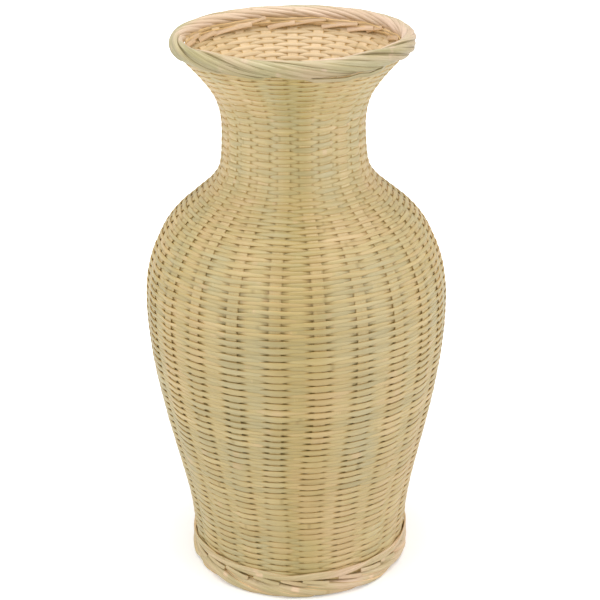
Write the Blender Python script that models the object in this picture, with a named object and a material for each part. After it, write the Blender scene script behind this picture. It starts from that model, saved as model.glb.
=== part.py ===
"""A vase woven from split bamboo: flat upright stakes, a wall of splints woven round them,
a plaited base, and a rolled border of wrapped splints at the mouth and at the foot."""

import math

import bmesh
import bpy
import numpy as np

# Form of the wall, in metres. +Z is up and the origin is the middle of the foot, on the table.
# Each radius is to the outside of the weave where it passes over a stake. The vase keeps its
# outline when it is made taller or wider.
HEIGHT = 0.300
BELLY_RADIUS = 0.0811
FOOT_RADIUS = 0.746 * BELLY_RADIUS
LOWER_BODY_HEIGHT = 0.2467 * HEIGHT
LOWER_BODY_RADIUS = 0.868 * BELLY_RADIUS
BELLY_HEIGHT = 0.4867 * HEIGHT
SHOULDER_HEIGHT = 0.62 * HEIGHT
SHOULDER_RADIUS = 0.931 * BELLY_RADIUS
SHOULDER_FALL_HEIGHT = 0.6867 * HEIGHT
SHOULDER_FALL_RADIUS = 0.7608 * BELLY_RADIUS
COLLAR_HEIGHT = 0.7427 * HEIGHT
COLLAR_RADIUS = 0.534 * BELLY_RADIUS
NECK_HEIGHT = 0.8017 * HEIGHT
NECK_RADIUS = 0.4723 * BELLY_RADIUS
THROAT_HEIGHT = 0.885 * HEIGHT
THROAT_RADIUS = 0.5018 * BELLY_RADIUS
MOUTH_RADIUS = 0.7127 * BELLY_RADIUS

# Splints
STAKE_COUNT = 23
STAKE_WIDTH = 0.0062
STAKE_THICKNESS = 0.0008
WEAVER_THICKNESS = 0.0007
CLEARANCE = 0.0003
WEB_WIDTH = 0.0006

# Base: a plaited middle, then weaving out to a rounded heel
PLAIT_RADIUS = 0.032
HEEL_RADIUS = 0.003

# Rolled borders: the section of each is an ellipse, of splints wrapped round a hoop
RIM_WIDTH = 0.0080
RIM_DEPTH = 0.0102
RIM_SEAT = 0.0015
RIM_OVERHANG = 0.0008
RIM_STRANDS = 6
RIM_TURNS = 3
RIM_STRAND_THICKNESS = 0.0018
FOOT_WIDTH = 0.0081
FOOT_DEPTH = 0.0072
FOOT_OFFSET = 0.0012
FOOT_FLAT = 0.0005
FOOT_STRANDS = 5
FOOT_TURNS = 3
FOOT_STRAND_THICKNESS = 0.0016
STRAND_GAP = 0.00035
HOOP_CLEARANCE = 0.0005
STEPS_A_TURN = 10
HOOP_SIDES = 6

# Worked out from the sizes above
WALL_HALF = STAKE_THICKNESS / 2 + CLEARANCE + WEAVER_THICKNESS
SLOT_HALF_WIDTH = STAKE_WIDTH / 2 + CLEARANCE
SLOT_HALF_DEPTH = STAKE_THICKNESS / 2 + CLEARANCE
STAKE_PITCH = 2 * math.pi / STAKE_COUNT
BASE_LIFT = FOOT_DEPTH + CLEARANCE + WALL_HALF
HEEL_TOP = BASE_LIFT + HEEL_RADIUS
WALL_TOP = HEIGHT - RIM_DEPTH - RIM_SEAT
OUTLINE = (
    (HEEL_TOP, FOOT_RADIUS),
    (LOWER_BODY_HEIGHT, LOWER_BODY_RADIUS),
    (BELLY_HEIGHT, BELLY_RADIUS),
    (SHOULDER_HEIGHT, SHOULDER_RADIUS),
    (SHOULDER_FALL_HEIGHT, SHOULDER_FALL_RADIUS),
    (COLLAR_HEIGHT, COLLAR_RADIUS),
    (NECK_HEIGHT, NECK_RADIUS),
    (THROAT_HEIGHT, THROAT_RADIUS),
    (WALL_TOP, MOUTH_RADIUS),
)


def clear_scene():
    for obj in list(bpy.data.objects):
        bpy.data.objects.remove(obj, do_unlink=True)


def bamboo(name, colour, roughness):
    material = bpy.data.materials.new(name)
    material.use_nodes = True
    shader = material.node_tree.nodes["Principled BSDF"]
    shader.inputs["Base Color"].default_value = (*colour, 1.0)
    shader.inputs["Roughness"].default_value = roughness
    shader.inputs["Metallic"].default_value = 0.0
    material.diffuse_color = (*colour, 1.0)
    return material


def outline_slopes():
    """Slopes of the smooth cubic curve through OUTLINE, upright at the heel and free at the mouth."""
    heights = np.array([point[0] for point in OUTLINE])
    radii = np.array([point[1] for point in OUTLINE])
    spans = np.diff(heights)
    rises = np.diff(radii) / spans
    last = len(OUTLINE) - 1
    rows = np.zeros((last + 1, last + 1))
    values = np.zeros(last + 1)
    rows[0, 0] = 1
    for i in range(1, last):
        rows[i, i - 1 : i + 2] = spans[i], 2 * (spans[i - 1] + spans[i]), spans[i - 1]
        values[i] = 3 * (spans[i] * rises[i - 1] + spans[i - 1] * rises[i])
    rows[last, last - 1 :] = 1, 2
    values[last] = 3 * rises[-1]
    return np.linalg.solve(rows, values)


SLOPES = outline_slopes()


def outline(height):
    """Outer radius of the wall at a height, and how fast it grows."""
    i = 0
    while i < len(OUTLINE) - 2 and height > OUTLINE[i + 1][0]:
        i += 1
    (z0, r0), (z1, r1) = OUTLINE[i : i + 2]
    m0, m1 = SLOPES[i : i + 2]
    span = z1 - z0
    t = (height - z0) / span
    a = 2 * (r0 - r1) + span * (m0 + m1)
    b = 3 * (r1 - r0) - span * (2 * m0 + m1)
    radius = ((a * t + b) * t + span * m0) * t + r0
    return radius, ((3 * a * t + 2 * b) * t + span * m0) / span


def wall_station(height):
    """Middle of the wall's thickness at a height, with the outward direction: (r, z, nr, nz)."""
    radius, slope = outline(height)
    size = math.hypot(1, slope)
    nr, nz = 1 / size, -slope / size
    return radius - nr * WALL_HALF, height - nz * WALL_HALF, nr, nz


def heel_station():
    """Where the base ends and the stakes start to turn up into the wall."""
    return wall_station(HEEL_TOP)[0] - HEEL_RADIUS, BASE_LIFT, 0.0, -1.0


def base_station(radius):
    return radius, BASE_LIFT, 0.0, -1.0


def wall_stations(low, high, steps):
    """Evenly spaced stations up the wall, from one height to another."""
    return [wall_station(low + (high - low) * i / steps) for i in range(steps + 1)]


def place(station, azimuth, along, out):
    """A point at a station: along is the distance sideways and out the distance outwards."""
    r, z, nr, nz = station
    radial = r + nr * out
    c, s = math.cos(azimuth), math.sin(azimuth)
    return radial * s + along * c, -radial * c + along * s, z + nz * out


def stake_azimuth(number):
    """Stakes stand evenly either side of the front, which is the -Y side."""
    return (number + 0.5) * STAKE_PITCH


def add_object(name, points, faces, material):
    mesh = bpy.data.meshes.new(name)
    mesh.from_pydata(points, [], faces)
    mesh.materials.append(material)
    mesh.update()
    obj = bpy.data.objects.new(name, mesh)
    bpy.context.scene.collection.objects.link(obj)
    return obj


# One stake and its slot at a station: names of the nine points of a pitch, in the order made
CREST_LEFT, CREST_RIGHT, GAP, SLOT_OUT_LEFT, SLOT_OUT_RIGHT = range(5)
SLOT_IN_RIGHT, SLOT_IN_LEFT, INNER_LEFT, INNER_RIGHT = range(5, 9)
PITCH_POINTS = 9


def pitch_points(station, number):
    azimuth = stake_azimuth(number)
    half_pitch = station[0] * math.tan(STAKE_PITCH / 2)
    crest = min(SLOT_HALF_WIDTH + WEB_WIDTH, (SLOT_HALF_WIDTH + half_pitch) / 2)
    return [
        place(station, azimuth, -crest, WALL_HALF),
        place(station, azimuth, crest, WALL_HALF),
        place(station, azimuth + STAKE_PITCH / 2, 0, WEAVER_THICKNESS),
        place(station, azimuth, -SLOT_HALF_WIDTH, SLOT_HALF_DEPTH),
        place(station, azimuth, SLOT_HALF_WIDTH, SLOT_HALF_DEPTH),
        place(station, azimuth, SLOT_HALF_WIDTH, -SLOT_HALF_DEPTH),
        place(station, azimuth, -SLOT_HALF_WIDTH, -SLOT_HALF_DEPTH),
        place(station, azimuth, -crest, -WALL_HALF),
        place(station, azimuth, crest, -WALL_HALF),
    ]


def woven_band(name, stations, material):
    """A ring of weaving between two heights, swelling over each stake, with a slot for each."""
    points = []
    for station in stations:
        for number in range(STAKE_COUNT):
            points += pitch_points(station, number)

    def index(level, number, corner):
        return (level * STAKE_COUNT + number % STAKE_COUNT) * PITCH_POINTS + corner

    faces = []
    for level in range(len(stations) - 1):
        for number in range(STAKE_COUNT):
            after = number + 1
            for (n0, c0), (n1, c1) in (
                ((number, CREST_LEFT), (number, CREST_RIGHT)),
                ((number, CREST_RIGHT), (number, GAP)),
                ((number, GAP), (after, CREST_LEFT)),
                ((after, INNER_LEFT), (number, INNER_RIGHT)),
                ((number, INNER_RIGHT), (number, INNER_LEFT)),
                ((number, SLOT_OUT_RIGHT), (number, SLOT_OUT_LEFT)),
                ((number, SLOT_OUT_LEFT), (number, SLOT_IN_LEFT)),
                ((number, SLOT_IN_LEFT), (number, SLOT_IN_RIGHT)),
                ((number, SLOT_IN_RIGHT), (number, SLOT_OUT_RIGHT)),
            ):
                low0, low1 = index(level, n0, c0), index(level, n1, c1)
                high0, high1 = index(level + 1, n0, c0), index(level + 1, n1, c1)
                faces.append((low0, low1, high1, high0))
    for level, upper in ((0, False), (len(stations) - 1, True)):
        for number in range(STAKE_COUNT):
            after = number + 1
            hub = index(level, number, GAP)
            edge = [
                index(level, number, CREST_RIGHT),
                index(level, number, SLOT_OUT_RIGHT),
                index(level, number, SLOT_IN_RIGHT),
                index(level, number, INNER_RIGHT),
                index(level, after, INNER_LEFT),
                index(level, after, SLOT_IN_LEFT),
                index(level, after, SLOT_OUT_LEFT),
                index(level, after, CREST_LEFT),
            ]
            end = [(hub, a, b) for a, b in zip(edge, edge[1:])]
            for corners in (
                (CREST_LEFT, SLOT_OUT_LEFT, SLOT_OUT_RIGHT, CREST_RIGHT),
                (SLOT_IN_LEFT, INNER_LEFT, INNER_RIGHT, SLOT_IN_RIGHT),
            ):
                end.append(tuple(index(level, number, corner) for corner in corners))
            faces += [face[::-1] for face in end] if upper else end
    return add_object(name, points, faces, material)


def stake(number, stations, material):
    """A flat upright splint that follows the wall from the plait in the base to the rim."""
    azimuth = stake_azimuth(number)
    side, face = STAKE_WIDTH / 2, STAKE_THICKNESS / 2
    points = []
    for station in stations:
        for along, out in ((-side, face), (side, face), (side, -face), (-side, -face)):
            points.append(place(station, azimuth, along, out))
    faces = [(3, 2, 1, 0)]
    for level in range(len(stations) - 1):
        low = 4 * level
        for a in range(4):
            b = (a + 1) % 4
            faces.append((low + a, low + b, low + 4 + b, low + 4 + a))
    top = 4 * (len(stations) - 1)
    faces.append((top, top + 1, top + 2, top + 3))
    return add_object(f"stake_{number + 1:02d}", points, faces, material)


def ring_point(radius, height, azimuth, angle, half_width, half_depth):
    """A point of a border's elliptical section: angle 0 faces outwards and a quarter turn faces up."""
    r = radius + half_width * math.cos(angle)
    z = height + half_depth * math.sin(angle)
    return r * math.sin(azimuth), -r * math.cos(azimuth), z


def core_hoop(name, steps, radius, height, half_width, half_depth, material):
    """The hoop inside a border, with as many steps round it as its strands have."""
    points = []
    for step in range(steps):
        for side in range(HOOP_SIDES):
            azimuth = 2 * math.pi * step / steps
            angle = 2 * math.pi * side / HOOP_SIDES
            points.append(ring_point(radius, height, azimuth, angle, half_width, half_depth))
    faces = []
    for step in range(steps):
        here, there = step * HOOP_SIDES, (step + 1) % steps * HOOP_SIDES
        for a in range(HOOP_SIDES):
            b = (a + 1) % HOOP_SIDES
            faces.append((here + a, there + a, there + b, here + b))
    return add_object(name, points, faces, material)


def strand_half_angle(count, depth, thickness):
    """Half of a strand's share of the way round the section, less its gap."""
    return math.pi / count - STRAND_GAP / (depth / 2 - thickness)


def border_strand(name, number, count, turns, radius, height, width, depth, thickness, material):
    """One splint wrapped round a hoop, its two ends tucked in side by side."""
    half_width, half_depth = width / 2, depth / 2
    inner_width, inner_depth = half_width - thickness, half_depth - thickness
    half_angle = strand_half_angle(count, depth, thickness)
    steps = turns * STEPS_A_TURN
    start = 2 * math.pi * number / count
    first = number * steps // count
    points = []
    for step in range(steps):
        azimuth = 2 * math.pi * (first + step) / steps
        middle = start - turns * azimuth
        for angle, across, up in (
            (middle - half_angle, inner_width, inner_depth),
            (middle - half_angle, half_width, half_depth),
            (middle, half_width, half_depth),
            (middle + half_angle, half_width, half_depth),
            (middle + half_angle, inner_width, inner_depth),
        ):
            points.append(ring_point(radius, height, azimuth, angle, across, up))
    sides = 5
    faces = [tuple(range(sides))]
    for step in range(steps - 1):
        here, there = step * sides, (step + 1) * sides
        for a in range(sides):
            b = (a + 1) % sides
            faces.append((here + a, there + a, there + b))
            faces.append((here + a, there + b, here + b))
    faces.append(tuple(reversed(range((steps - 1) * sides, steps * sides))))
    return add_object(name, points, faces, material)


def cut_flat(obj, height):
    """Cuts away what lies below a height and closes the cuts, as the foot is trimmed to stand."""
    form = bmesh.new()
    form.from_mesh(obj.data)
    every = form.verts[:] + form.edges[:] + form.faces[:]
    bmesh.ops.bisect_plane(
        form, geom=every, plane_co=(0, 0, height), plane_no=(0, 0, 1), clear_inner=True
    )
    openings = [edge for edge in form.edges if edge.is_boundary]
    bmesh.ops.holes_fill(form, edges=openings, sides=0)
    bmesh.ops.recalc_face_normals(form, faces=form.faces[:])
    form.to_mesh(obj.data)
    form.free()


def base_plait(material):
    """The middle of the base, where the stakes cross over and under each other."""
    form = bmesh.new()
    bmesh.ops.create_cone(
        form,
        cap_ends=True,
        segments=2 * STAKE_COUNT,
        radius1=PLAIT_RADIUS,
        radius2=PLAIT_RADIUS,
        depth=2 * WALL_HALF,
    )
    bmesh.ops.translate(form, verts=form.verts[:], vec=(0, 0, BASE_LIFT))
    mesh = bpy.data.meshes.new("base_plait")
    form.to_mesh(mesh)
    form.free()
    mesh.materials.append(material)
    obj = bpy.data.objects.new("base_plait", mesh)
    bpy.context.scene.collection.objects.link(obj)
    return obj


def border(kind, radius, height, width, depth, thickness, count, turns, material, hoop_material):
    flat = math.cos(strand_half_angle(count, depth, thickness)) * math.cos(math.pi / STEPS_A_TURN)
    core_hoop(
        f"{kind}_core_hoop",
        turns * STEPS_A_TURN,
        radius,
        height,
        (width / 2 - thickness) * flat - HOOP_CLEARANCE,
        (depth / 2 - thickness) * flat - HOOP_CLEARANCE,
        hoop_material,
    )
    strands = []
    for number in range(count):
        name = f"{kind}_strand_{number + 1}"
        strands.append(
            border_strand(
                name, number, count, turns, radius, height, width, depth, thickness, material
            )
        )
    return strands


def build():
    clear_scene()
    stake_bamboo = bamboo("stake_bamboo", (0.66, 0.56, 0.33), 0.5)
    weaver_bamboo = bamboo("weaver_bamboo", (0.72, 0.62, 0.38), 0.55)
    border_bamboo = bamboo("border_bamboo", (0.74, 0.65, 0.42), 0.45)
    hoop_bamboo = bamboo("hoop_bamboo", (0.58, 0.45, 0.25), 0.6)

    inner_edge = base_station(PLAIT_RADIUS + CLEARANCE)
    heel = heel_station()
    heel_end = base_station(heel[0] - CLEARANCE)
    half_gap = CLEARANCE / 2
    bands = (
        ("lower_body_weave", LOWER_BODY_HEIGHT, 2),
        ("belly_weave", BELLY_HEIGHT, 2),
        ("shoulder_weave", SHOULDER_HEIGHT, 2),
        ("shoulder_fall_weave", SHOULDER_FALL_HEIGHT, 1),
        ("collar_weave", COLLAR_HEIGHT, 2),
        ("neck_weave", NECK_HEIGHT, 2),
        ("throat_weave", THROAT_HEIGHT, 2),
        ("mouth_weave", WALL_TOP, 3),
    )
    woven_band("base_weave", [inner_edge, heel_end], weaver_bamboo)
    whole = [inner_edge, heel, wall_station(HEEL_TOP)]
    low = HEEL_TOP
    for name, high, steps in bands:
        bottom = low if low == HEEL_TOP else low + half_gap
        top = high if high == WALL_TOP else high - half_gap
        stations = wall_stations(bottom, top, steps)
        if low == HEEL_TOP:
            stations.insert(0, heel)
        woven_band(name, stations, weaver_bamboo)
        whole += wall_stations(low, high, steps)[1:]
        low = high
    for number in range(STAKE_COUNT):
        stake(number, whole, stake_bamboo)
    base_plait(stake_bamboo)

    border(
        "rim",
        MOUTH_RADIUS + RIM_OVERHANG,
        HEIGHT - RIM_DEPTH / 2,
        RIM_WIDTH,
        RIM_DEPTH,
        RIM_STRAND_THICKNESS,
        RIM_STRANDS,
        RIM_TURNS,
        border_bamboo,
        hoop_bamboo,
    )
    full_depth = FOOT_DEPTH + FOOT_FLAT
    for strand in border(
        "foot",
        heel[0] + FOOT_OFFSET,
        full_depth / 2 - FOOT_FLAT,
        FOOT_WIDTH,
        full_depth,
        FOOT_STRAND_THICKNESS,
        FOOT_STRANDS,
        FOOT_TURNS,
        border_bamboo,
        hoop_bamboo,
    ):
        cut_flat(strand, 0.0)


build()
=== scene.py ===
"""Looks of the woven bamboo vase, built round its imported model."""

import math

import bpy
import numpy as np
from mathutils import Matrix, Vector


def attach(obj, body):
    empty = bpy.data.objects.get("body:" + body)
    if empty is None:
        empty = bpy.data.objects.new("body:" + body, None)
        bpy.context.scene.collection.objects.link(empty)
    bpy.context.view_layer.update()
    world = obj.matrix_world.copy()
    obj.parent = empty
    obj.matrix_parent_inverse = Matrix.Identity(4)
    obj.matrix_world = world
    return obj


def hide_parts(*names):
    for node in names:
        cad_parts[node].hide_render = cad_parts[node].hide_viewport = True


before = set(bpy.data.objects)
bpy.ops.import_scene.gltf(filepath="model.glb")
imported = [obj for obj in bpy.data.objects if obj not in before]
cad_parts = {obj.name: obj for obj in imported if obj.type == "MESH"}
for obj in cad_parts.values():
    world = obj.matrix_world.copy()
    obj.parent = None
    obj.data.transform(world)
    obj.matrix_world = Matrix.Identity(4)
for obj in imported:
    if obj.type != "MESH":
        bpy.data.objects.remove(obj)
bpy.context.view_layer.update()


# The stakes
# Twelve flat strips of split bamboo. Each comes down one side of the vase, crosses the others over
# and under in the middle of the base, and goes up the opposite side; one is cut short in the base,
# which leaves the odd number of uprights that one running weaver needs.
stake_count = 23
stake_pitch = 2 * math.pi / stake_count
stake_width = 0.0062
stake_thickness = 0.0008
base_lift = 0.0089
heel_radius = 0.003
heel_top = 0.0119
wall_half = 0.0014
plait_radius = 0.0323
plait_half = 0.0207
plait_lift = 0.00045
lane_count = 6
lane_spacing = 0.0069
heel_steps = 5
lean_low = 0.070
lean_high = 0.130

# Heights and outer radii of the wall, from the heel up to the border.
wall_outline = (
    (heel_top, 0.0605),
    (0.0740, 0.0704),
    (0.1460, 0.0811),
    (0.1860, 0.0755),
    (0.2060, 0.0617),
    (0.2228, 0.0433),
    (0.2405, 0.0383),
    (0.2655, 0.0407),
    (0.2883, 0.0578),
)


def outline_slopes():
    """Slopes of the smooth curve through the wall's outline, upright at the heel."""
    heights = np.array([point[0] for point in wall_outline])
    radii = np.array([point[1] for point in wall_outline])
    spans = np.diff(heights)
    rises = np.diff(radii) / spans
    last = len(wall_outline) - 1
    rows = np.zeros((last + 1, last + 1))
    values = np.zeros(last + 1)
    rows[0, 0] = 1
    for i in range(1, last):
        rows[i, i - 1 : i + 2] = spans[i], 2 * (spans[i - 1] + spans[i]), spans[i - 1]
        values[i] = 3 * (spans[i] * rises[i - 1] + spans[i - 1] * rises[i])
    rows[last, last - 1 :] = 1, 2
    values[last] = 3 * rises[-1]
    return np.linalg.solve(rows, values)


slopes = outline_slopes()


def wall_middle(level):
    """Middle of the wall's thickness at a height, and the way out: radius, height, out and up."""
    i = 0
    while i < len(wall_outline) - 2 and level > wall_outline[i + 1][0]:
        i += 1
    (z0, r0), (z1, r1) = wall_outline[i : i + 2]
    m0, m1 = slopes[i : i + 2]
    span = z1 - z0
    t = (level - z0) / span
    a = 2 * (r0 - r1) + span * (m0 + m1)
    b = 3 * (r1 - r0) - span * (2 * m0 + m1)
    radius = ((a * t + b) * t + span * m0) * t + r0
    slope = ((3 * a * t + 2 * b) * t + span * m0) / span
    size = math.hypot(1, slope)
    out, up = 1 / size, -slope / size
    return radius - out * wall_half, level - up * wall_half, out, up


# The upper end of a stake, bent in under the border: radius, height, and its way out and up.
bent_end = (
    (0.0562, 0.2897, 0.66, 0.75),
    (0.0557, 0.2906, 0.74, 0.67),
    (0.0554, 0.2918, 0.82, 0.57),
    (0.0556, 0.2932, 0.92, 0.39),
    (0.0560, 0.2944, 0.97, 0.24),
    (0.0563, 0.2956, 1.0, 0.0),
)


def upright_line(step):
    """The line that a stake follows, from the plait's edge out to the heel and up to the rim."""
    heel_centre = wall_middle(heel_top)[0] - heel_radius
    flat_steps = round((heel_centre - plait_radius) / step)
    stations = []
    for i in range(flat_steps):
        radius = plait_radius + (heel_centre - plait_radius) * i / flat_steps
        stations.append((radius, base_lift, 0.0, -1.0))
    for i in range(heel_steps):
        turn = math.pi / 2 * i / heel_steps
        out, up = math.sin(turn), -math.cos(turn)
        stations.append((heel_centre + heel_radius * out, heel_top + heel_radius * up, out, up))
    wall_steps = round((wall_outline[-1][0] - heel_top) / step)
    for i in range(wall_steps + 1):
        level = heel_top + (wall_outline[-1][0] - heel_top) * i / wall_steps
        stations.append(wall_middle(level))
    return stations + list(bent_end)


# The maker's hand: in degrees, how far the stakes stand off their even places in the upper part
# and near the foot, where some of them lean.
stake_drift = np.random.default_rng(11).uniform(-0.7, 0.7, (stake_count, 2))
front_stakes = list(range(-4, 4))
stake_drift[front_stakes, 0] = -0.9, -1.5, -0.6, 0.0, 0.6, 1.0, 1.4, 1.1
stake_drift[front_stakes, 1] = -0.6, -0.9, -2.3, -2.8, -2.4, -1.3, 1.0, 0.6
stake_drift = np.radians(stake_drift)


def stake_azimuth(number, level):
    """Where a stake stands at a height, counted from the front, the -Y side, towards +X."""
    above, below = stake_drift[number % stake_count]
    t = min(max((level - lean_low) / (lean_high - lean_low), 0.0), 1.0)
    return (number + 0.5) * stake_pitch + below + (above - below) * t * t * (3 - 2 * t)


def at_azimuth(station, azimuth):
    """A point of the upright line and its way out, carried round to an azimuth."""
    r, z, out, up = station
    c, s = math.cos(azimuth), math.sin(azimuth)
    return Vector((r * s, -r * c, z)), Vector((out * s, -out * c, up))


def crossing(start, azimuth, lane, along_y, side):
    """From the edge of the plait in to the lane where the strip crosses the others."""
    inward = Vector((-math.sin(azimuth), math.cos(azimuth), 0))
    edge = plait_half * side
    goal = Vector((lane, edge, base_lift)) if along_y else Vector((edge, lane, base_lift))
    ahead = Vector((0, -side, 0)) if along_y else Vector((-side, 0, 0))
    reach = (goal - start).length
    points = []
    for i in range(1, 5):
        t = i / 5
        h0 = 2 * t ** 3 - 3 * t ** 2 + 1
        h1 = t ** 3 - 2 * t ** 2 + t
        h2 = 3 * t ** 2 - 2 * t ** 3
        h3 = t ** 3 - t ** 2
        points.append(start * h0 + inward * reach * h1 + goal * h2 + ahead * reach * h3)
    return points


def strip_path(near, far, lane_number, along_y, stations):
    """One strip from rim to rim, through the plait. Without a far stake it stops in the base."""
    lane = (lane_number - (lane_count - 1) / 2) * lane_spacing
    below = Vector((0, 0, -1))
    sides = []
    for number, side in ((near, -1), (far, 1)):
        if number is None:
            continue
        wall = []
        for station in reversed(stations):
            wall.append(at_azimuth(station, stake_azimuth(number, station[1])))
        fan = crossing(wall[-1][0], stake_azimuth(number, base_lift), lane, along_y, side)
        sides.append(wall + [(point, below) for point in fan])
    middle = []
    steps = 36
    last_step = steps if far is not None else steps - 4
    for i in range(last_step + 1):
        across = -plait_half + 2 * plait_half * i / steps
        turn = across / lane_spacing * math.pi + (lane_number + (0 if along_y else 1)) * math.pi
        lift = base_lift - plait_lift * math.sin(turn)
        point = Vector((lane, across, lift)) if along_y else Vector((across, lane, lift))
        middle.append((point, below))
    path = sides[0] + middle
    if far is not None:
        path += sides[1][::-1]
    return path


def line_object(name, paths):
    """Open lines of points as edges, each point with its way out and each line with its number."""
    points = []
    outs = []
    numbers = []
    edges = []
    for number, path in enumerate(paths):
        first = len(points)
        points += [point for point, _ in path]
        outs += [value for _, out in path for value in out]
        numbers += [float(number)] * len(path)
        edges += [(first + i, first + i + 1) for i in range(len(path) - 1)]
    mesh = bpy.data.meshes.new(name)
    mesh.from_pydata(points, edges, [])
    mesh.attributes.new("out", "FLOAT_VECTOR", "POINT").data.foreach_set("vector", outs)
    mesh.attributes.new("line", "FLOAT", "POINT").data.foreach_set("value", numbers)
    obj = bpy.data.objects.new(name, mesh)
    bpy.context.scene.collection.objects.link(obj)
    return obj


def node(tree, kind, inputs=None, **settings):
    """Adds a node to a tree with its settings, and sets or links its inputs."""
    made = tree.nodes.new(kind)
    for name, value in settings.items():
        setattr(made, name, value)
    for socket, value in (inputs or {}).items():
        if isinstance(value, bpy.types.NodeSocket):
            tree.links.new(value, made.inputs[socket])
        else:
            made.inputs[socket].default_value = value
    return made


def sum_of(tree, operation, *values):
    """One step of arithmetic in a tree."""
    made = tree.nodes.new("ShaderNodeMath")
    made.operation = operation
    for socket, value in zip(made.inputs, values):
        if isinstance(value, bpy.types.NodeSocket):
            tree.links.new(value, socket)
        else:
            socket.default_value = value
    return made.outputs[0]


def plus(tree, first, *others):
    """The sum of all the values."""
    for value in others:
        first = sum_of(tree, "ADD", first, value)
    return first


def times(tree, first, *others):
    """The product of all the values."""
    for value in others:
        first = sum_of(tree, "MULTIPLY", first, value)
    return first


def minus(tree, first, second):
    """The difference of two values."""
    return sum_of(tree, "SUBTRACT", first, second)


def eased(tree, value, low, high, start, end, kind="SMOOTHSTEP"):
    """A value that goes from start to end while another goes from low to high."""
    spread = {"Value": value, "From Min": low, "From Max": high, "To Min": start, "To Max": end}
    return node(tree, "ShaderNodeMapRange", spread, interpolation_type=kind).outputs[0]


def vector(tree, x=0.0, y=0.0, z=0.0):
    """Three values as one."""
    return node(tree, "ShaderNodeCombineXYZ", {0: x, 1: y, 2: z}).outputs[0]


def parts(tree, value):
    """The three values of one."""
    return node(tree, "ShaderNodeSeparateXYZ", {0: value}).outputs


def store(tree, shape, name, value, kind="FLOAT"):
    """Keeps a value on the points of a shape."""
    given = {"Geometry": shape, "Name": name, "Value": value}
    kept = node(tree, "GeometryNodeStoreNamedAttribute", given, data_type=kind, domain="POINT")
    return kept.outputs[0]


def stored(tree, name, kind="FLOAT"):
    """A value kept on points earlier."""
    return node(tree, "GeometryNodeInputNamedAttribute", {"Name": name}, data_type=kind).outputs[0]


def placed(tree, shape, position):
    """A shape with its points put at a position."""
    given = {"Geometry": shape, "Position": position}
    return node(tree, "GeometryNodeSetPosition", given).outputs[0]


def facing_out(tree, line):
    """A line whose splint will face the way out that its points keep."""
    given = {"Curve": line, "Normal": stored(tree, "out", "FLOAT_VECTOR")}
    return node(tree, "GeometryNodeSetCurveNormal", given, mode="FREE").outputs[0]


def chance(tree, number, seed, low=0.0, high=1.0):
    """A value that differs from one number to the next, the same in each run."""
    given = {2: low, 3: high, "ID": number, "Seed": seed}
    return node(tree, "FunctionNodeRandomValue", given, data_type="FLOAT").outputs[1]


def hand(tree, place, amount, detail=1.0):
    """The unsteadiness of the maker's hand along a place."""
    noise = node(tree, "ShaderNodeTexNoise", {"Vector": place, "Scale": 1.0, "Detail": detail})
    return times(tree, minus(tree, noise.outputs["Fac"], 0.5), amount)


def new_tree(name, sockets):
    """A Geometry Nodes tree with named inputs, and the outputs of its input node."""
    tree = bpy.data.node_groups.new(name, "GeometryNodeTree")
    tree.interface.new_socket("Geometry", in_out="INPUT", socket_type="NodeSocketGeometry")
    for label, kind, value in sockets:
        socket = tree.interface.new_socket(label, in_out="INPUT", socket_type=kind)
        if value is not None:
            socket.default_value = value
    tree.interface.new_socket("Geometry", in_out="OUTPUT", socket_type="NodeSocketGeometry")
    return tree, tree.nodes.new("NodeGroupInput").outputs


def splint_section(tree, width, thickness, sides, roundness):
    """The section of a splint, which keeps how far across it and how far out a point is."""
    circle = {"Resolution": sides, "Radius": 1.0}
    ring = node(tree, "GeometryNodeCurvePrimitiveCircle", circle).outputs[0]
    place = parts(tree, node(tree, "GeometryNodeInputPosition").outputs[0])
    for name, value in (("face", place[0]), ("across", place[1])):
        swollen = sum_of(tree, "POWER", sum_of(tree, "ABSOLUTE", value), roundness)
        ring = store(tree, ring, name, times(tree, sum_of(tree, "SIGN", value), swollen))
    x = times(tree, stored(tree, "face"), thickness, 0.5)
    y = times(tree, stored(tree, "across"), width, 0.5)
    return placed(tree, ring, vector(tree, x, y))


def finish_tree(tree, mesh, material):
    """The end of every tree here: smooth shading, real geometry and the piece's material."""
    smooth = node(tree, "GeometryNodeSetShadeSmooth", {"Geometry": mesh, "Shade Smooth": True})
    real = node(tree, "GeometryNodeRealizeInstances", {"Geometry": smooth.outputs[0]})
    given = {"Geometry": real.outputs[0], "Material": material}
    dressed = node(tree, "GeometryNodeSetMaterial", given)
    end = tree.nodes.new("NodeGroupOutput")
    tree.links.new(dressed.outputs[0], end.inputs[0])


def woven(obj, tree, values):
    """Runs a tree on an object's lines and keeps the result as the object's plain mesh."""
    modifier = obj.modifiers.new("made", "NODES")
    modifier.node_group = tree
    inputs = [item for item in tree.interface.items_tree if item.in_out == "INPUT"]
    sockets = {item.name: item.identifier for item in inputs}
    for label, value in values.items():
        modifier[sockets[label]] = value
    graph = bpy.context.evaluated_depsgraph_get()
    made = obj.evaluated_get(graph)
    mesh = bpy.data.meshes.new_from_object(made, preserve_all_data_layers=True, depsgraph=graph)
    obj.modifiers.remove(modifier)
    obj.data = mesh
    mesh.name = obj.name


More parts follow.
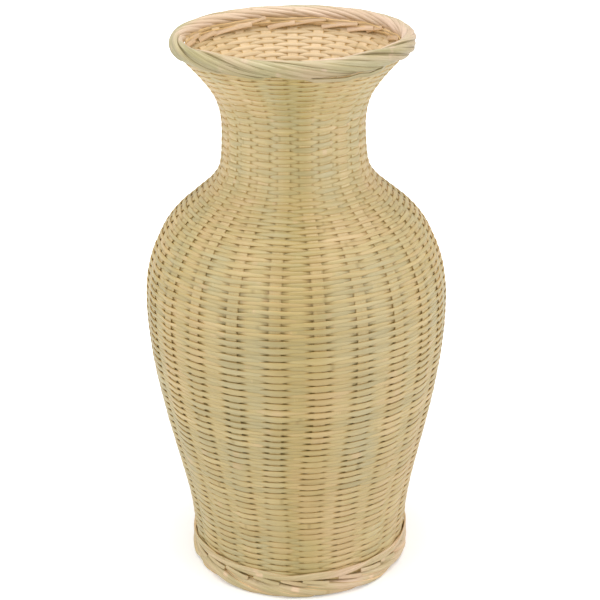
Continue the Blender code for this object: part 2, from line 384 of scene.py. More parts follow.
def bamboo(
    name, greener, straw, warmer, inner, split_edge_and_groove_shade,
    roughness, grain, fibre_shade, edge_shade, painted_light,
):
    """Split bamboo: straw-coloured, a little different in each splint, with long fine fibres.

    The last argument sets how much light is painted on it: paler at the neck and the mouth, and
    painted shade, deeper and greener, in a strip down the front.
    """
    material = bpy.data.materials.new(name)
    material.use_nodes = True
    tree = material.node_tree
    shader = tree.nodes["Principled BSDF"]
    shader.inputs["Roughness"].default_value = roughness
    shader.inputs["Specular IOR Level"].default_value = 0.85

    def kept(label):
        return node(tree, "ShaderNodeAttribute", attribute_name=label).outputs["Fac"]

    def noise(place, detail, rough):
        given = {"Vector": place, "Scale": 1.0, "Detail": detail, "Roughness": rough}
        return node(tree, "ShaderNodeTexNoise", given).outputs["Fac"]

    def mixed_with(amount, first, second):
        given = {0: amount, 6: first, 7: (*second, 1)}
        return node(tree, "ShaderNodeMix", given, data_type="RGBA").outputs[2]

    along = kept("along")
    across = kept("across")
    face = kept("face")
    tone = kept("tone")
    inside = kept("inside")
    sideways = sum_of(tree, "ABSOLUTE", across)
    shift = times(tree, tone, 57.0)
    x, y, z = parts(tree, node(tree, "ShaderNodeTexCoord").outputs["Object"])

    # Clouds and fine fibres run along each splint, and wide patches lie over the whole vase.
    cloudy = vector(tree, times(tree, along, 24.0), times(tree, across, 0.35), shift)
    cloud = noise(cloudy, 3.0, 0.6)
    fibrous = vector(tree, times(tree, along, 70.0), times(tree, across, grain), shift)
    fibre = noise(fibrous, 4.0, 0.7)
    patchy = vector(tree, times(tree, x, 46.0), times(tree, y, 46.0), times(tree, z, 9.0))
    patch = noise(patchy, 1.5, 0.5)

    # Painted shade: a strip down the front is greener, darker and less grey, as if it had less
    # light and sheen than the sides.
    turned = sum_of(tree, "ARCTAN2", x, times(tree, y, -1.0))
    off_front = sum_of(tree, "ABSOLUTE", minus(tree, turned, 0.03))
    front = eased(tree, off_front, 0.07, 0.26, painted_light, 0.0)
    mixed = plus(tree, times(tree, tone, 0.24), times(tree, cloud, 0.34), patch, -0.29)
    mixed = minus(tree, mixed, times(tree, front, 0.04))
    ramp = node(tree, "ShaderNodeValToRGB", {"Fac": mixed})
    stops = ramp.color_ramp.elements
    stops[0].position = 0.25
    stops[0].color = (*greener, 1)
    stops[1].position = 0.75
    stops[1].color = (*warmer, 1)
    stops.new(0.5).color = (*straw, 1)

    # The inner side, which also shows in scars, and the split edges have colours of their own.
    pith = sum_of(tree, "MAXIMUM", inside, eased(tree, face, -0.1, -0.6, 0.0, 1.0))
    scarred = noise(vector(tree, times(tree, along, 90.0), 7.0, shift), 1.0, 0.5)
    pith = sum_of(tree, "MAXIMUM", pith, eased(tree, scarred, 0.64, 0.74, 0.0, 0.8))
    tint = mixed_with(pith, ramp.outputs["Color"], inner)
    # On the rim's border the split-edge colour is dark: painted shade in the grooves between its
    # splints.
    at_edge = eased(tree, sideways, 0.7, 1.0, 0.0, 0.9)
    flank = times(tree, at_edge, eased(tree, face, 0.15, 0.65, 1.0, 0.0))
    tint = mixed_with(flank, tint, split_edge_and_groove_shade)

    # Fibres, joints and weather shade it. Its edges are darkened as painted shade between the
    # splints, and the places where it dips under a stake get painted shade.
    streak = eased(tree, fibre, 0.3, 0.7, fibre_shade, 1.07, "LINEAR")
    edge = eased(tree, sideways, 0.7, 1.0, 1.0, edge_shade, "LINEAR")
    lengths = sum_of(tree, "FRACT", plus(tree, times(tree, along, 3.4), shift))
    joint_distance = sum_of(tree, "ABSOLUTE", minus(tree, lengths, 0.5))
    joint = eased(tree, joint_distance, 0.0, 0.005, 0.8, 1.0, "LINEAR")
    weathered = eased(tree, cloud, 0.3, 0.7, 0.92, 1.06, "LINEAR")
    own_number = sum_of(tree, "FRACT", times(tree, tone, 7.31))
    own = eased(tree, own_number, 0.0, 1.0, 0.94, 1.05, "LINEAR")
    turned_in = eased(tree, face, -0.3, 0.3, -1.0, 1.0)
    dipped = sum_of(tree, "ABSOLUTE", minus(tree, kept("dip"), turned_in))
    painted_dip_shade = eased(tree, dipped, 1.2, 1.95, 1.0, 0.9)
    # Where a border takes the painted pale inner colour, its streaks and painted edge shade stay
    # light.
    fine = sum_of(tree, "MAXIMUM", times(tree, streak, edge), inside)
    shade = times(tree, fine, joint, weathered, own, painted_dip_shade)
    # Painted shade on the strip down the front.
    shade = times(tree, shade, minus(tree, 1.0, times(tree, front, 0.1)))

    # Painted light makes the neck paler, and the edge of the mouth, where the border shades it. The
    # +X side is a little greyer, a painted sheen, and what is darker is also browner.
    shade = times(tree, shade, eased(tree, z, 0.2, 0.245, 1.0, 1.0 + 0.14 * painted_light))
    shade = times(tree, shade, eased(tree, z, 0.289, 0.2915, 1.0, 1.0 + 0.25 * painted_light))
    darker = sum_of(tree, "POWER", shade, 1.2)
    greyed = minus(tree, eased(tree, x, -0.06, 0.06, 1.03, 1.09), times(tree, front, 0.10))
    darkest = times(tree, sum_of(tree, "POWER", shade, 1.9), greyed)
    given = {0: tint, 1: vector(tree, shade, darker, darkest)}
    colour = node(tree, "ShaderNodeVectorMath", given, operation="MULTIPLY").outputs[0]
    tree.links.new(colour, shader.inputs["Base Color"])
    bump = node(tree, "ShaderNodeBump", {"Height": fibre, "Strength": 0.3, "Distance": 0.0002})
    tree.links.new(bump.outputs[0], shader.inputs["Normal"])
    return material


stake_bamboo = bamboo(
    "stake_bamboo",
    greener=(0.51, 0.425, 0.185),
    straw=(0.56, 0.44, 0.19),
    warmer=(0.60, 0.45, 0.21),
    inner=(0.66, 0.48, 0.24),
    split_edge_and_groove_shade=(0.70, 0.47, 0.17),
    roughness=0.5,
    grain=22.0,
    fibre_shade=0.86,
    edge_shade=0.9,
    painted_light=1.0,
)

strip_tree, given = new_tree("Strip along a line", (
    ("Width", "NodeSocketFloat", 0.006),
    ("Thickness", "NodeSocketFloat", 0.0008),
    ("Roundness", "NodeSocketFloat", 0.5),
    ("Sides", "NodeSocketInt", 10),
    ("Seed", "NodeSocketInt", 1),
    ("Material", "NodeSocketMaterial", None),
))
line = node(strip_tree, "GeometryNodeMeshToCurve", {"Mesh": given["Geometry"]}).outputs[0]
line = facing_out(strip_tree, line)
length = node(strip_tree, "GeometryNodeSplineParameter").outputs["Length"]
line = store(strip_tree, line, "along", length)
tone = chance(strip_tree, stored(strip_tree, "line"), given["Seed"])
line = store(strip_tree, line, "tone", tone)
section = splint_section(
    strip_tree, given["Width"], given["Thickness"], given["Sides"], given["Roundness"]
)
strips = node(strip_tree, "GeometryNodeCurveToMesh", {
    "Curve": line,
    "Profile Curve": section,
    "Fill Caps": True,
})
finish_tree(strip_tree, strips.outputs[0], given["Material"])

# Each strip's two stakes, the lane where it crosses the plait, and whether it runs along Y.
strip_ends = [(i - 3, 13 - i, i, True) for i in range(lane_count - 1)]
strip_ends += [(lane_count - 4, None, lane_count - 1, True)]
strip_ends += [(-4 - i, 3 + i, i, False) for i in range(lane_count)]
stake_stations = upright_line(0.0025)
stakes = line_object("stakes", [strip_path(*ends, stake_stations) for ends in strip_ends])
woven(stakes, strip_tree, {
    "Width": stake_width,
    "Thickness": stake_thickness,
    "Roundness": 0.45,
    "Sides": 10,
    "Seed": 3,
    "Material": stake_bamboo,
})
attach(stakes, "root")
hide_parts(*[f"stake_{number + 1:02d}" for number in range(stake_count)], "base_plait")


# The weaving
# Splints of bamboo about two millimetres wide, woven over one stake and under the next in one
# running line that climbs round and round, from the plait in the base to the rim. New splints are
# let in behind a stake where the old ones end, so their colour changes there.
row_spacing = 0.00196
weaver_width = 0.00226
weaver_thickness = 0.00075
over_stake = 0.00082
splint_reach = 19.0
grain_pitch = 0.018
step_start = 0.0082
step_end = 0.0026
weaver_bamboo = bamboo(
    "weaver_bamboo",
    greener=(0.455, 0.38, 0.175),
    straw=(0.515, 0.394, 0.153),
    warmer=(0.575, 0.415, 0.18),
    inner=(0.575, 0.415, 0.197),
    split_edge_and_groove_shade=(0.72, 0.45, 0.14),
    roughness=0.42,
    grain=6.0,
    fibre_shade=0.86,
    edge_shade=0.9,
    painted_light=1.0,
)

weave_tree, given = new_tree("Running weaver", (
    ("Stake Drift", "NodeSocketObject", None),
    ("Stakes", "NodeSocketInt", 23),
    ("Steps a Stake", "NodeSocketInt", 12),
    ("First Row", "NodeSocketFloat", 0.0),
    ("Rows", "NodeSocketFloat", 10.0),
    ("Row Spacing", "NodeSocketFloat", 0.002),
    ("Over", "NodeSocketFloat", 0.001),
    ("Width", "NodeSocketFloat", 0.002),
    ("Spread Outside", "NodeSocketFloat", 0.0006),
    ("Spread Inside", "NodeSocketFloat", 0.0008),
    ("Thickness", "NodeSocketFloat", 0.0007),
    ("Sides", "NodeSocketInt", 8),
    ("Seed", "NodeSocketInt", 1),
    ("Material", "NodeSocketMaterial", None),
))
w = weave_tree
upright = node(w, "GeometryNodeMeshToCurve", {"Mesh": given["Geometry"]}).outputs[0]
round_steps = times(w, given["Stakes"], given["Steps a Stake"])
count = plus(w, sum_of(w, "FLOOR", times(w, given["Rows"], round_steps)), 1.0)
bare = node(w, "GeometryNodeCurvePrimitiveLine").outputs[0]
given_count = {"Curve": bare, "Count": count}
path = node(w, "GeometryNodeResampleCurve", given_count, mode="COUNT").outputs[0]

# How many stakes the weaver has passed, with its points closer together beside the stakes.
index = node(w, "GeometryNodeInputIndex").outputs[0]
even = sum_of(w, "DIVIDE", index, given["Steps a Stake"])
even = plus(w, even, times(w, given["First Row"], given["Stakes"]))
whole = sum_of(w, "FLOOR", even)
part = minus(w, even, whole)
between = minus(w, part, times(w, sum_of(w, "SINE", times(w, part, math.tau)), 0.5 / math.tau))
passed = plus(w, whole, between)
stake_before = sum_of(w, "FLOORED_MODULO", whole, given["Stakes"])
nearest = sum_of(w, "ROUND", passed)

# A new splint, with its own colour and gauge, is let in where the old one ends.
splint_number = sum_of(w, "FLOOR", sum_of(w, "DIVIDE", plus(w, passed, 0.5), splint_reach))
tone = chance(w, splint_number, given["Seed"])
gauge = chance(w, splint_number, 7, 0.95, 1.05)

# How far the weaver has climbed up the stakes, with the maker's unsteadiness.
pitch_angle = sum_of(w, "DIVIDE", math.tau, given["Stakes"])
turned = times(w, passed, pitch_angle)
row = sum_of(w, "DIVIDE", passed, given["Stakes"])
to_side = times(w, sum_of(w, "SINE", turned), 2.2)
to_front = times(w, sum_of(w, "COSINE", turned), 2.2)
together = hand(w, vector(w, to_side, to_front, times(w, row, 0.035)), 0.0018)
alone = hand(w, vector(w, times(w, passed, 0.33)), 0.0007)
climb = plus(w, times(w, row, given["Row Spacing"]), together, alone)
outward = stored(w, "out", "FLOAT_VECTOR")
sampled = node(
    w, "GeometryNodeSampleCurve", {"Curves": upright, "Value": outward, "Length": climb},
    mode="LENGTH", data_type="FLOAT_VECTOR",
)
centre, _, height = parts(w, sampled.outputs["Position"])
out, _, up = parts(w, sampled.outputs["Value"])

# Where the stakes really stand at this height.
marks = node(w, "GeometryNodeObjectInfo", {"Object": given["Stake Drift"]}).outputs["Geometry"]
place = node(w, "GeometryNodeInputPosition").outputs[0]
upper = eased(w, height, lean_low, lean_high, 0.0, 1.0)
drifts = []
for further in (0.0, 1.0):
    given_mark = {"Geometry": marks, "Value": place, "Index": plus(w, stake_before, further)}
    mark = node(w, "GeometryNodeSampleIndex", given_mark, data_type="FLOAT_VECTOR", domain="POINT")
    above, below, _ = parts(w, mark.outputs[0])
    drifts.append(plus(w, below, times(w, minus(w, above, below), upper)))
drifted = plus(w, drifts[0], times(w, minus(w, drifts[1], drifts[0]), between))
azimuth = plus(w, times(w, plus(w, passed, 0.5), pitch_angle), drifted)
sideways = sum_of(w, "MINIMUM", minus(w, 1.0, sum_of(w, "COSINE", azimuth)), 1.0)

# It steps out over one stake and in under the next, and between them it runs level.
sign = minus(w, times(w, sum_of(w, "FLOORED_MODULO", nearest, 2.0), 2.0), 1.0)
pitch = times(w, centre, pitch_angle)
half_pitch = times(w, pitch, 0.5)
beside = times(w, sum_of(w, "MINIMUM", between, minus(w, 1.0, between)), pitch)
far = sum_of(w, "MINIMUM", half_pitch, step_start)
near = eased(w, beside, far, step_end, 0.0, 1.0)
level_part = minus(w, 1.0, sum_of(w, "DIVIDE", beside, half_pitch))
rise = plus(w, times(w, near, 0.84), times(w, level_part, 0.16))

# The step is smaller where the stakes stand close, near the foot, on the front of the shoulder and
# in the mouth, and smallest on the inside of the mouth.
stake_here = sum_of(w, "FLOORED_MODULO", nearest, given["Stakes"])
close_set = eased(w, pitch, 0.0100, 0.0165, 0.72, 1.0)
tension = plus(w, 1.0, hand(w, vector(w, times(w, passed, 0.9), 5.0), 0.9))
above_belly = eased(w, height, 0.170, 0.188, 0.0, 1.0)
below_neck = eased(w, height, 0.215, 0.245, 1.0, 0.0)
shoulder = times(w, above_belly, below_neck, eased(w, sideways, 0.08, 0.35, 1.0, 0.0))
in_mouth = eased(w, height, 0.255, 0.280, 1.0, 0.82)
under_border = eased(w, height, 0.2865, 0.2895, 1.0, 0.2)
above_foot = eased(w, height, 0.055, 0.110, 0.86, 1.0)
on_shoulder = minus(w, 1.0, times(w, shoulder, 0.27))
flatter = times(w, in_mouth, under_border, on_shoulder, above_foot)
bite = times(w, chance(w, stake_here, 31, 0.86, 1.02), close_set, tension, flatter)
swing = times(w, rise, sign, bite, given["Over"])
shallow = eased(w, height, 0.250, 0.275, 1.0, 0.38)
swing = sum_of(w, "MAXIMUM", swing, times(w, swing, shallow))

# Beside a stake the splint spreads: outside most on the body and less above it, in looser and
# tighter patches, and inside as far up as the neck. From the collar up it is wider all along.
higher = plus(w, height, times(w, sideways, 0.055))
body = eased(w, higher, 0.152, 0.180, 1.0, 0.0)
lower_body = eased(w, height, 0.060, 0.120, 0.42, 0.0)
neck = eased(w, height, 0.195, 0.240, 0.0, 0.4)
slack = hand(w, vector(w, times(w, passed, 0.9)), 0.0018)
patch = vector(w, times(w, to_side, 1.5), times(w, to_front, 1.5), times(w, row, 0.07))
packed = hand(w, patch, 0.0030)
spread = plus(w, body, lower_body, neck, times(w, shoulder, 0.3))
outside = plus(w, times(w, given["Spread Outside"], spread), slack, packed)
inside = times(w, given["Spread Inside"], eased(w, height, 0.240, 0.270, 1.0, 0.15))
over = times(w, plus(w, sign, 1.0), 0.5)
under = minus(w, 1.0, over)
extra = times(w, near, plus(w, times(w, over, outside), times(w, under, inside)))
extra = plus(w, extra, eased(w, height, 0.205, 0.270, 0.0, 0.0003))

sine = sum_of(w, "SINE", azimuth)
cosine = times(w, sum_of(w, "COSINE", azimuth), -1.0)
radius = plus(w, centre, times(w, out, swing))
level = plus(w, height, times(w, up, swing))
spot = vector(w, times(w, radius, sine), times(w, radius, cosine), level)
normal = vector(w, times(w, out, sine), times(w, out, cosine), up)
down = times(w, up, -1.0)
upward = vector(w, times(w, down, sine), times(w, down, cosine), out)

for label, value in (
    ("tone", tone),
    ("gauge", gauge),
    ("along", times(w, passed, grain_pitch)),
    ("extra", extra),
    ("dip", times(w, near, sign)),
):
    path = store(w, path, label, value)
path = store(w, path, "out", normal, "FLOAT_VECTOR")
path = store(w, path, "upward", upward, "FLOAT_VECTOR")
path = facing_out(w, placed(w, path, spot))
section = splint_section(w, given["Width"], given["Thickness"], given["Sides"], 0.6)
rows = node(w, "GeometryNodeCurveToMesh", {
    "Curve": path,
    "Profile Curve": section,
    "Scale": stored(w, "gauge"),
    "Fill Caps": True,
}).outputs[0]
reach = times(w, stored(w, "across"), stored(w, "extra"), -0.5)
given_reach = {0: stored(w, "upward", "FLOAT_VECTOR"), "Scale": reach}
widened = node(w, "ShaderNodeVectorMath", given_reach, operation="SCALE").outputs[0]
rows = node(w, "GeometryNodeSetPosition", {"Geometry": rows, "Offset": widened}).outputs[0]
finish_tree(w, rows, given["Material"])

marks_mesh = bpy.data.meshes.new("stake_drift")
marked = [(*stake_drift[number % stake_count], 0) for number in range(stake_count + 1)]
marks_mesh.from_pydata(marked, [], [])
marks_object = bpy.data.objects.new("stake_drift", marks_mesh)
bpy.context.scene.collection.objects.link(marks_object)

weave_stations = upright_line(0.001)
upright_points = [(Vector((r, 0, z)), Vector((out, 0, up))) for r, z, out, up in weave_stations]
climbed = [0.0]
for (r0, z0, _, _), (r1, z1, _, _) in zip(weave_stations, weave_stations[1:]):
    climbed.append(climbed[-1] + math.hypot(r1 - r0, z1 - z0))


def row_at(level):
    """How many rows lie below a height of the wall."""
    heights = [station[1] for station in weave_stations]
    return np.interp(level, heights, climbed) / row_spacing


# The weaving starts just outside the plait and is kept in bands, which end at the heights of the
# wall's outline.
band_names = (
    "base_weave",
    "lower_body_weave",
    "belly_weave",
    "shoulder_weave",
    "shoulder_fall_weave",
    "collar_weave",
    "neck_weave",
    "throat_weave",
    "mouth_weave",
)
flat = sum(station[1] <= base_lift for station in weave_stations)
band_tops = [round(climbed[flat - 1] / row_spacing)]
band_tops += [round(row_at(level)) for level, _ in wall_outline[1:-1]]
band_tops += [climbed[-1] / row_spacing + 1.0]
lowest = 0.35
for name, top in zip(band_names, band_tops):
    band = line_object(name + "_rows", [upright_points])
    woven(band, weave_tree, {
        "Stake Drift": marks_object,
        "Stakes": stake_count,
        "Steps a Stake": 12,
        "First Row": lowest,
        "Rows": top - lowest,
        "Row Spacing": row_spacing,
        "Over": over_stake,
        "Width": weaver_width,
        "Spread Outside": 0.00105,
        "Spread Inside": 0.0012,
        "Thickness": weaver_thickness,
        "Sides": 8,
        "Seed": 5,
        "Material": weaver_bamboo,
    })
    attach(band, "root")
    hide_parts(name)
    lowest = top
bpy.data.objects.remove(marks_object)


# The hoops inside the borders
# A thick hoop of raw bamboo at the mouth and one at the foot, which the borders are wrapped round.
# Only a little of them shows, between the wrapped splints.
hoop_bamboo = bpy.data.materials.new("hoop_bamboo")
hoop_bamboo.use_nodes = True
tree = hoop_bamboo.node_tree
shader = tree.nodes["Principled BSDF"]
shader.inputs["Roughness"].default_value = 0.7
where = node(tree, "ShaderNodeTexCoord").outputs["Object"]
fibre = node(tree, "ShaderNodeTexNoise", {"Vector": where, "Scale": 420.0, "Detail": 3.0})
tint = node(tree, "ShaderNodeValToRGB", {"Fac": fibre.outputs["Fac"]})
tint.color_ramp.elements[0].color = (0.40, 0.29, 0.13, 1)
tint.color_ramp.elements[1].color = (0.58, 0.43, 0.21, 1)
tree.links.new(tint.outputs["Color"], shader.inputs["Base Color"])
given_bump = {"Height": fibre.outputs["Fac"], "Strength": 0.4, "Distance": 0.0003}
bump = node(tree, "ShaderNodeBump", given_bump)
tree.links.new(bump.outputs[0], shader.inputs["Normal"])
for name in ("rim_core_hoop", "foot_core_hoop"):
    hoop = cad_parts[name]
    hoop.data.materials.clear()
    hoop.data.materials.append(hoop_bamboo)


# The rolled borders
# Splints of bamboo wrapped side by side round each hoop with a slow twist, like the lay of a rope,
# twelve at the mouth and ten at the foot, their ends tucked in under the others.
# Dark split edges and much darkened edges: painted shade in the grooves between the wrapped
# splints.
border_bamboo = bamboo(
    "border_bamboo",
    greener=(0.45, 0.41, 0.205),
    straw=(0.51, 0.43, 0.225),
    warmer=(0.59, 0.45, 0.28),
    inner=(0.77, 0.57, 0.41),
    split_edge_and_groove_shade=(0.40, 0.33, 0.15),
    roughness=0.42,
    grain=5.0,
    fibre_shade=0.66,
    edge_shade=0.6,
    painted_light=0.0,
)
# Paler: partly the wall's own colour, partly painted light on the shaded foot and tucked ends.
foot_bamboo = bamboo(
    "foot_bamboo",
    greener=(0.51, 0.43, 0.205),
    straw=(0.59, 0.46, 0.235),
    warmer=(0.68, 0.49, 0.30),
    inner=(0.80, 0.58, 0.36),
    split_edge_and_groove_shade=(0.86, 0.60, 0.30),
    roughness=0.42,
    grain=5.0,
    fibre_shade=0.78,
    edge_shade=0.95,
    painted_light=0.0,
)
border_tree, given = new_tree("Wrapped splints", (
    ("Ring Radius", "NodeSocketFloat", 0.06),
    ("Ring Height", "NodeSocketFloat", 0.29),
    ("Front Drop", "NodeSocketFloat", 0.0),
    ("Half Width", "NodeSocketFloat", 0.004),
    ("Half Depth", "NodeSocketFloat", 0.005),
    ("Inner Sink", "NodeSocketFloat", 0.0),
    ("Turns", "NodeSocketFloat", 3.0),
    ("Start Azimuth", "NodeSocketFloat", 0.0),
    ("Start Angle", "NodeSocketFloat", 0.0),
    ("Splint Angle", "NodeSocketFloat", 0.5),
    ("Steps", "NodeSocketInt", 300),
    ("Width", "NodeSocketFloat", 0.0026),
    ("Thickness", "NodeSocketFloat", 0.0015),
    ("Sides", "NodeSocketInt", 10),
    ("Seed", "NodeSocketInt", 1),
    ("Material", "NodeSocketMaterial", None),
))
b = border_tree
bare = node(b, "GeometryNodeCurvePrimitiveLine").outputs[0]
given_steps = {"Curve": bare, "Count": given["Steps"]}
bare = node(b, "GeometryNodeResampleCurve", given_steps, mode="COUNT").outputs[0]
pair = node(b, "GeometryNodeDuplicateElements", {"Geometry": bare, "Amount": 2}, domain="SPLINE")
path = store(b, pair.outputs[0], "splint", pair.outputs[1])
splint = stored(b, "splint")
factor = node(b, "GeometryNodeSplineParameter").outputs["Factor"]
own = plus(b, times(b, given["Seed"], 2.0), splint)
tone = chance(b, own, 21)
gauge = chance(b, own, 22, 0.92, 1.12)
azimuth = plus(b, given["Start Azimuth"], chance(b, own, 23, -0.12, 0.12))
azimuth = plus(b, azimuth, times(b, factor, math.tau))
sway = hand(b, vector(b, times(b, factor, 8.0), times(b, own, 3.7)), 0.62)
lay = plus(b, times(b, azimuth, given["Turns"]), times(b, sum_of(b, "SINE", azimuth), 0.45))
beside = times(b, minus(b, splint, 0.5), given["Splint Angle"])
angle = plus(b, given["Start Angle"], beside, times(b, lay, -1.0), sway)
cos_angle = sum_of(b, "COSINE", angle)
sin_angle = sum_of(b, "SINE", angle)

# A splint lies on the hoop, a little higher or lower than its neighbours, and dives in at its ends.
end = sum_of(b, "ABSOLUTE", minus(b, factor, 0.5))
tuck = eased(b, end, 0.485, 0.5, 0.0, 0.0016)
low = eased(b, sin_angle, 0.1, -0.35, 0.0, 1.0)
inward = eased(b, cos_angle, 0.3, -0.2, 0.0, 1.0)
drawn_in = times(b, low, inward, given["Inner Sink"])
sine = sum_of(b, "SINE", azimuth)
cosine = times(b, sum_of(b, "COSINE", azimuth), -1.0)
uneven = eased(b, cosine, -0.7, 0.5, 0.0016, 0.0004)
unsteady = times(b, hand(b, vector(b, times(b, factor, 14.0), times(b, own, 5.1)), 1.0), uneven)
higher = times(b, chance(b, own, 24, -0.3, 0.6), uneven)
sunk = plus(b, times(b, given["Thickness"], 0.5), tuck, drawn_in, unsteady, higher)
drop = times(b, given["Front Drop"], plus(b, 0.5, times(b, cosine, -0.5)))
r = plus(b, given["Ring Radius"], times(b, minus(b, given["Half Width"], sunk), cos_angle))
z = plus(b, given["Ring Height"], times(b, minus(b, given["Half Depth"], sunk), sin_angle))
spot = vector(b, times(b, r, sine), times(b, r, cosine), minus(b, z, drop))
out_side = times(b, given["Half Depth"], cos_angle)
out_up = times(b, given["Half Width"], sin_angle)
normal = vector(b, times(b, out_side, sine), times(b, out_side, cosine), out_up)

# Painted light: where it faces the inside of the ring, and a little at the +X side, it takes the
# pale inner colour.
paler = eased(b, sine, 0.75, 1.0, 0.0, 0.45)
inside = sum_of(b, "MAXIMUM", eased(b, cos_angle, 0.4, -0.6, 0.0, 0.85), paler)
length = plus(b, times(b, factor, 0.37), times(b, own, 0.61))
for label, value in (("tone", tone), ("gauge", gauge), ("along", length), ("inside", inside)):
    path = store(b, path, label, value)
path = store(b, path, "out", normal, "FLOAT_VECTOR")
path = facing_out(b, placed(b, path, spot))
section = splint_section(b, given["Width"], given["Thickness"], given["Sides"], 0.95)
splints = node(b, "GeometryNodeCurveToMesh", {
    "Curve": path,
    "Profile Curve": section,
    "Scale": stored(b, "gauge"),
    "Fill Caps": True,
}).outputs[0]
x, y, z = parts(b, node(b, "GeometryNodeInputPosition").outputs[0])
on_table = vector(b, x, y, sum_of(b, "MAXIMUM", z, 0.0))
finish_tree(b, placed(b, splints, on_table), given["Material"])

lay_turns = 3.0
tucked_angle = 1.75
rim = {
    "Ring Radius": 0.0586,
    "Ring Height": 0.29495,
    "Front Drop": 0.0013,
    "Half Width": 0.0040,
    "Half Depth": 0.00475,
    "Inner Sink": 0.0008,
    "Width": 0.0029,
}
foot = {
    "Ring Radius": 0.0576,
    "Ring Height": 0.0045,
    "Front Drop": 0.0,
    "Half Width": 0.0041,
    "Half Depth": 0.0047,
    "Inner Sink": 0.0,
    "Width": 0.0034,
}
for kind, strands, sizes, first_seed, material in (
    ("rim", 6, rim, 0, border_bamboo),
    ("foot", 5, foot, 50, foot_bamboo),
):
    for number in range(strands):
        # The ends are spread round the ring, each where its splint passes the underside.
        turns_before = number / strands + 2 * number % lay_turns
        name = f"{kind}_splints_{number + 1}"
        start = [(Vector((0, 0, 0)), Vector((0, 0, 1))), (Vector((0, 0, 1)), Vector((0, 1, 0)))]
        piece = line_object(name, [start])
        woven(piece, border_tree, {
            **sizes,
            "Turns": lay_turns,
            "Start Azimuth": (math.tau * turns_before + tucked_angle) / lay_turns,
            "Start Angle": math.tau * number / strands,
            "Splint Angle": math.pi / strands,
            "Steps": 300,
            "Thickness": 0.0024,
            "Sides": 10,
            "Seed": number + first_seed,
            "Material": material,
        })
        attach(piece, "root")
        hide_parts(f"{kind}_strand_{number + 1}")


# The tucked ends
# Bamboo splints: at the mouth each stake's thinned end, laid along inside and tucked under the
# border, and a loose one outside that hangs a little below it. At the foot, the cut ends of the
# border's splints, and above them three splints twined round the heel, which bind them in.
cut_ends = 23
twined_splints = 3
hand_moves = np.random.default_rng(29)
rim_ends = []
for number in range(stake_count):
    start = stake_azimuth(number, 0.288) + hand_moves.uniform(-0.15, 0.15) * stake_pitch
    reach_round = hand_moves.uniform(0.8, 1.8) * stake_pitch
    lowest_level = hand_moves.uniform(0.2884, 0.2908)
    lay_up = hand_moves.uniform(0.0010, 0.0040)
    line = []
    for i in range(17):
        t = i / 16
        level = lowest_level + lay_up * (0.45 * math.sin(0.5 * math.pi * t) + 0.55 * t)
        below_border = min(max((level - 0.2905) / 0.0025, 0.0), 1.0)
        radius = 0.0550 + 0.0005 * below_border + 0.0003 * math.cos(math.pi * t)
        line.append(at_azimuth((radius, level, 0.93, -0.37), start - reach_round * t))
    rim_ends.append(line)

# The loose splint, with both its ends tucked in, hangs lowest at two places.
loose_line = []
for i in range(61):
    azimuth = 0.05 + 0.83 * i / 60
    gap = np.interp(azimuth, (0.10, 0.22, 0.42, 0.55, 0.65, 0.75), (0, 0.5, 1.2, 0.2, 0.8, 0))
    tucked = max(0.0, 1 - i / 8, (i - 52) / 8)
    front_drop = rim["Front Drop"] * (0.5 + 0.5 * math.cos(azimuth))
    level = rim["Ring Height"] - front_drop - 0.0048 - 0.0010 * gap + 0.0012 * tucked
    loose_line.append(at_azimuth((0.0606 - 0.0022 * tucked, level, 0.95, -0.3), azimuth))

foot_ends = []
for number in range(cut_ends):
    start = (number + hand_moves.uniform(0.0, 0.6)) * math.tau / cut_ends
    steep = hand_moves.uniform(0.0018, 0.0032)
    line = []
    for i in range(7):
        t = i / 6
        level = 0.0114 - steep * t
        radius = 0.0606 + 0.0007 * t - 0.0010 * t ** 3
        line.append(at_azimuth((radius, level, 0.95, 0.3), start + 0.24 * t))
    foot_ends.append(line)

bindings = []
for number in range(twined_splints):
    line = []
    for i in range(201):
        t = i / 200
        wave = 5 * math.tau * t + number * math.tau / twined_splints
        lap = 0.0006 * max(0.0, 1 - t / 0.02)
        level = 0.0139 + 0.0011 * math.sin(wave) + 0.0002 * math.sin(2.3 * wave)
        radius = 0.0607 + 0.0003 * math.cos(wave) - lap
        azimuth = 2.4 + 0.7 * number + math.tau * 1.01 * t
        line.append(at_azimuth((radius, level, 1.0, 0.02), azimuth))
    bindings.append(line)
# The tucked ends at the mouth take the foot's paler bamboo: painted light in the border's shade.
for name, lines, width, thickness, slot, material in (
    ("rim_tucked_ends", rim_ends, 0.0030, 0.0009, "stakes", foot_bamboo),
    ("rim_loose_splint", [loose_line], 0.0020, 0.0009, "borders", border_bamboo),
    ("foot_tucked_ends", foot_ends, 0.0023, 0.0009, "borders", foot_bamboo),
    ("heel_binding", bindings, 0.0025, 0.0008, "borders", foot_bamboo),
):
    piece = line_object(name, lines)
    woven(piece, strip_tree, {
        "Width": width,
        "Thickness": thickness,
        "Roundness": 0.6,
        "Sides": 10,
        "Seed": 17,
        "Material": material,
    })
    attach(piece, "root")


# The table, the light and the camera
# A plain white table, soft studio light from above and both sides, and a camera that looks down on
# the vase from the front, a little rolled.
bpy.context.scene.view_settings.view_transform = "Standard"
table_mesh = bpy.data.meshes.new("table")
table_mesh.from_pydata([(-3, -3, 0), (3, -3, 0), (3, 3, 0), (-3, 3, 0)], [], [(0, 1, 2, 3)])
table = bpy.data.objects.new("table", table_mesh)
bpy.context.scene.collection.objects.link(table)
white = bpy.data.materials.new("white_table")
white.use_nodes = True
tree = white.node_tree
shader = tree.nodes["Principled BSDF"]
shader.inputs["Base Color"].default_value = (0.9, 0.9, 0.9, 1)
shader.inputs["Roughness"].default_value = 0.9
shader.inputs["Emission Color"].default_value = (1, 1, 1, 1)

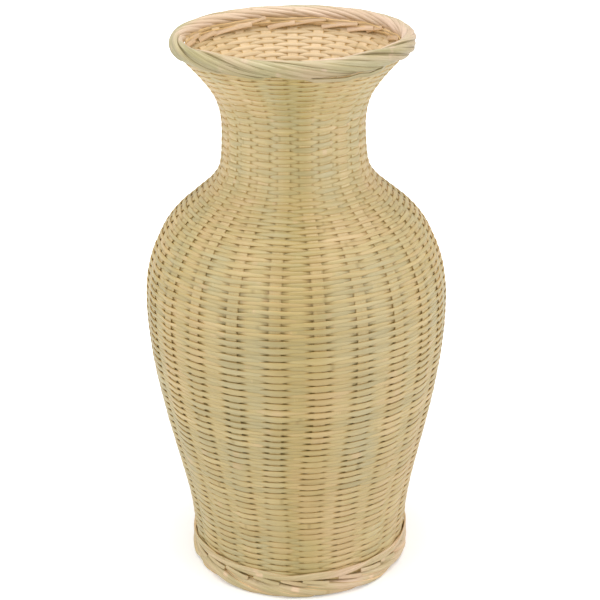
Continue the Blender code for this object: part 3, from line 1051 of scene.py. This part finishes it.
# To the camera the table is white, a little greyer near the vase, and plain under its foot.
seen = node(tree, "ShaderNodeLightPath")
where = node(tree, "ShaderNodeTexCoord").outputs["Object"]
distance = node(tree, "ShaderNodeVectorMath", {0: where}, operation="LENGTH").outputs["Value"]
beyond_foot = sum_of(tree, "GREATER_THAN", distance, 0.058)
glow = times(tree, eased(tree, distance, 0.15, 0.60, 0.22, 0.7), beyond_foot)
glow = times(tree, seen.outputs["Is Camera Ray"], glow)
tree.links.new(glow, shader.inputs["Emission Strength"])
table_mesh.materials.append(white)

world = bpy.data.worlds.new("studio")
bpy.context.scene.world = world
world.use_nodes = True
tree = world.node_tree
background = tree.nodes["Background"]
seen = node(tree, "ShaderNodeLightPath")
strength = sum_of(tree, "MAXIMUM", seen.outputs["Is Camera Ray"], 0.75)
tree.links.new(strength, background.inputs["Strength"])
background.inputs["Color"].default_value = (1, 1, 1, 1)

lamps = (
    ("left_softbox", (-1.25, -0.62, 0.6), 1.0, 4.6),
    ("right_softbox", (1.25, -0.62, 0.6), 1.0, 5.2),
    ("top_softbox", (0.0, -0.1, 1.4), 1.2, 11.5),
)
for name, spot, size, power in lamps:
    lamp = bpy.data.lights.new(name, "AREA")
    lamp.shape = "SQUARE"
    lamp.size = size
    lamp.energy = power
    holder = bpy.data.objects.new(name, lamp)
    bpy.context.scene.collection.objects.link(holder)
    holder.location = spot
    aim = Vector((0, 0, 0.15)) - Vector(spot)
    holder.rotation_euler = aim.to_track_quat("-Z", "Y").to_euler()

camera_place = (0.00196, -0.7370, 0.4646)
elevation = math.radians(23.026)
roll = math.radians(0.824)
lens_data = bpy.data.cameras.new("camera")
lens_data.lens = 88.45
lens_data.sensor_width = 36
camera = bpy.data.objects.new("camera", lens_data)
bpy.context.scene.collection.objects.link(camera)
camera.matrix_world = (
    Matrix.Translation(camera_place)
    @ Matrix.Rotation(math.pi / 2 - elevation, 4, "X")
    @ Matrix.Rotation(-roll, 4, "Z")
)
bpy.context.scene.camera = camera
